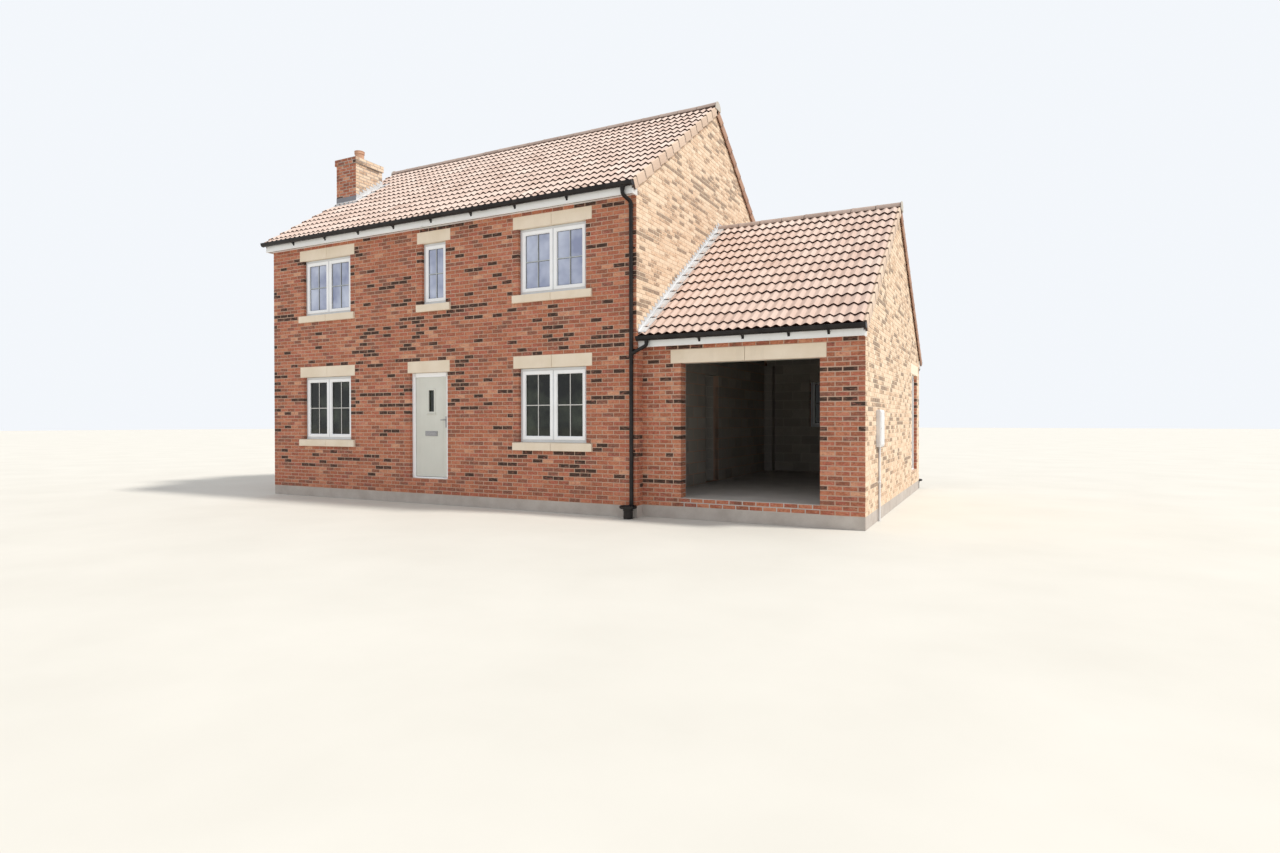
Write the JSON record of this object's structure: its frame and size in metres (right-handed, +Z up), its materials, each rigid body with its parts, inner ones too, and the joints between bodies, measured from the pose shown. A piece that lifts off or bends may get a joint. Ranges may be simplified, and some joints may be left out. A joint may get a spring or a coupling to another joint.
{
  "type": "detached house",
  "caption": "Two-storey detached brick house with gabled tiled roofs, stone lintels and sills, a chimney at one gable and a lower open-fronted garage wing at the other.",
  "frame": {"origin": "centre of the footprint of the main house, on the underside of the foundation", "axes": "+Z up; -Y is the way the front faces; +X is toward the garage"},
  "size_m": [13.055, 8.2518, 8.4474],
  "materials": {
    "concrete": "cast concrete, float finished",
    "timber": "plain floor deck",
    "brick": "red facing brick with dark headers in pale mortar",
    "stone": "smooth cast stone, buff",
    "white_frame": "white, satin",
    "glass": "clear double glazing",
    "front_door": "pale grey-green, satin",
    "bright_metal": "satin metal",
    "roof_tile": "pinkish terracotta, sanded",
    "ridge_tile": "brown, sanded",
    "white_board": "white, satin",
    "black_plastic": "black, satin",
    "lead": "pale grey dressed lead",
    "clay": "plain fired clay"
  },
  "bodies": {
    "house": {"foundation": "concrete", "ground_floor": "concrete", "garage_floor": "concrete", "first_floor": "timber", "front_wall_left": "brick", "front_wall_centre": "brick", "front_wall_right": "brick", "back_wall": "brick", "left_gable_wall": "brick", "right_gable_wall": "brick", "garage_piers": "brick", "garage_front_head": "brick", "garage_side_wall": "brick", "garage_gable": "brick", "garage_back_wall": "brick", "stone_lintels": "stone", "stone_sills": "stone", "lower_left_window": "white_frame", "lower_right_window": "white_frame", "upper_left_window": "white_frame", "upper_centre_window": "white_frame", "upper_right_window": "white_frame", "front_glass": "glass", "back_windows": "white_frame", "back_glass": "glass", "front_door_frame": "white_frame", "side_door_frame": "white_frame", "main_roof_front": "roof_tile", "main_roof_back": "roof_tile", "garage_roof_front": "roof_tile", "garage_roof_back": "roof_tile", "ridge_tiles": "ridge_tile", "verge_tiles": "roof_tile", "eaves_boards": "white_board", "gutters": "black_plastic", "downpipes": "black_plastic", "lead_flashings": "lead", "chimney_stack": "brick", "chimney_pot": "clay", "meter_box": "white_board"},
    "front_door": {"front_door_leaf": "front_door", "front_door_furniture": "bright_metal", "front_door_glass": "glass"},
    "side_door": {"side_door_leaf": "white_frame", "side_door_handle": "bright_metal"}
  },
  "joints": [
    {"name": "front_door_swing", "type": "hinge", "parent": "house", "child": "front_door", "pos_m": [-0.431, -3.5445, 1.5], "axis": [0, 0, 1], "range_deg": [0, 90]},
    {"name": "side_door_swing", "type": "hinge", "parent": "house", "child": "side_door", "pos_m": [8.1345, 3.406, 1.5], "axis": [0, 0, -1], "range_deg": [0, 90]}
  ]
}
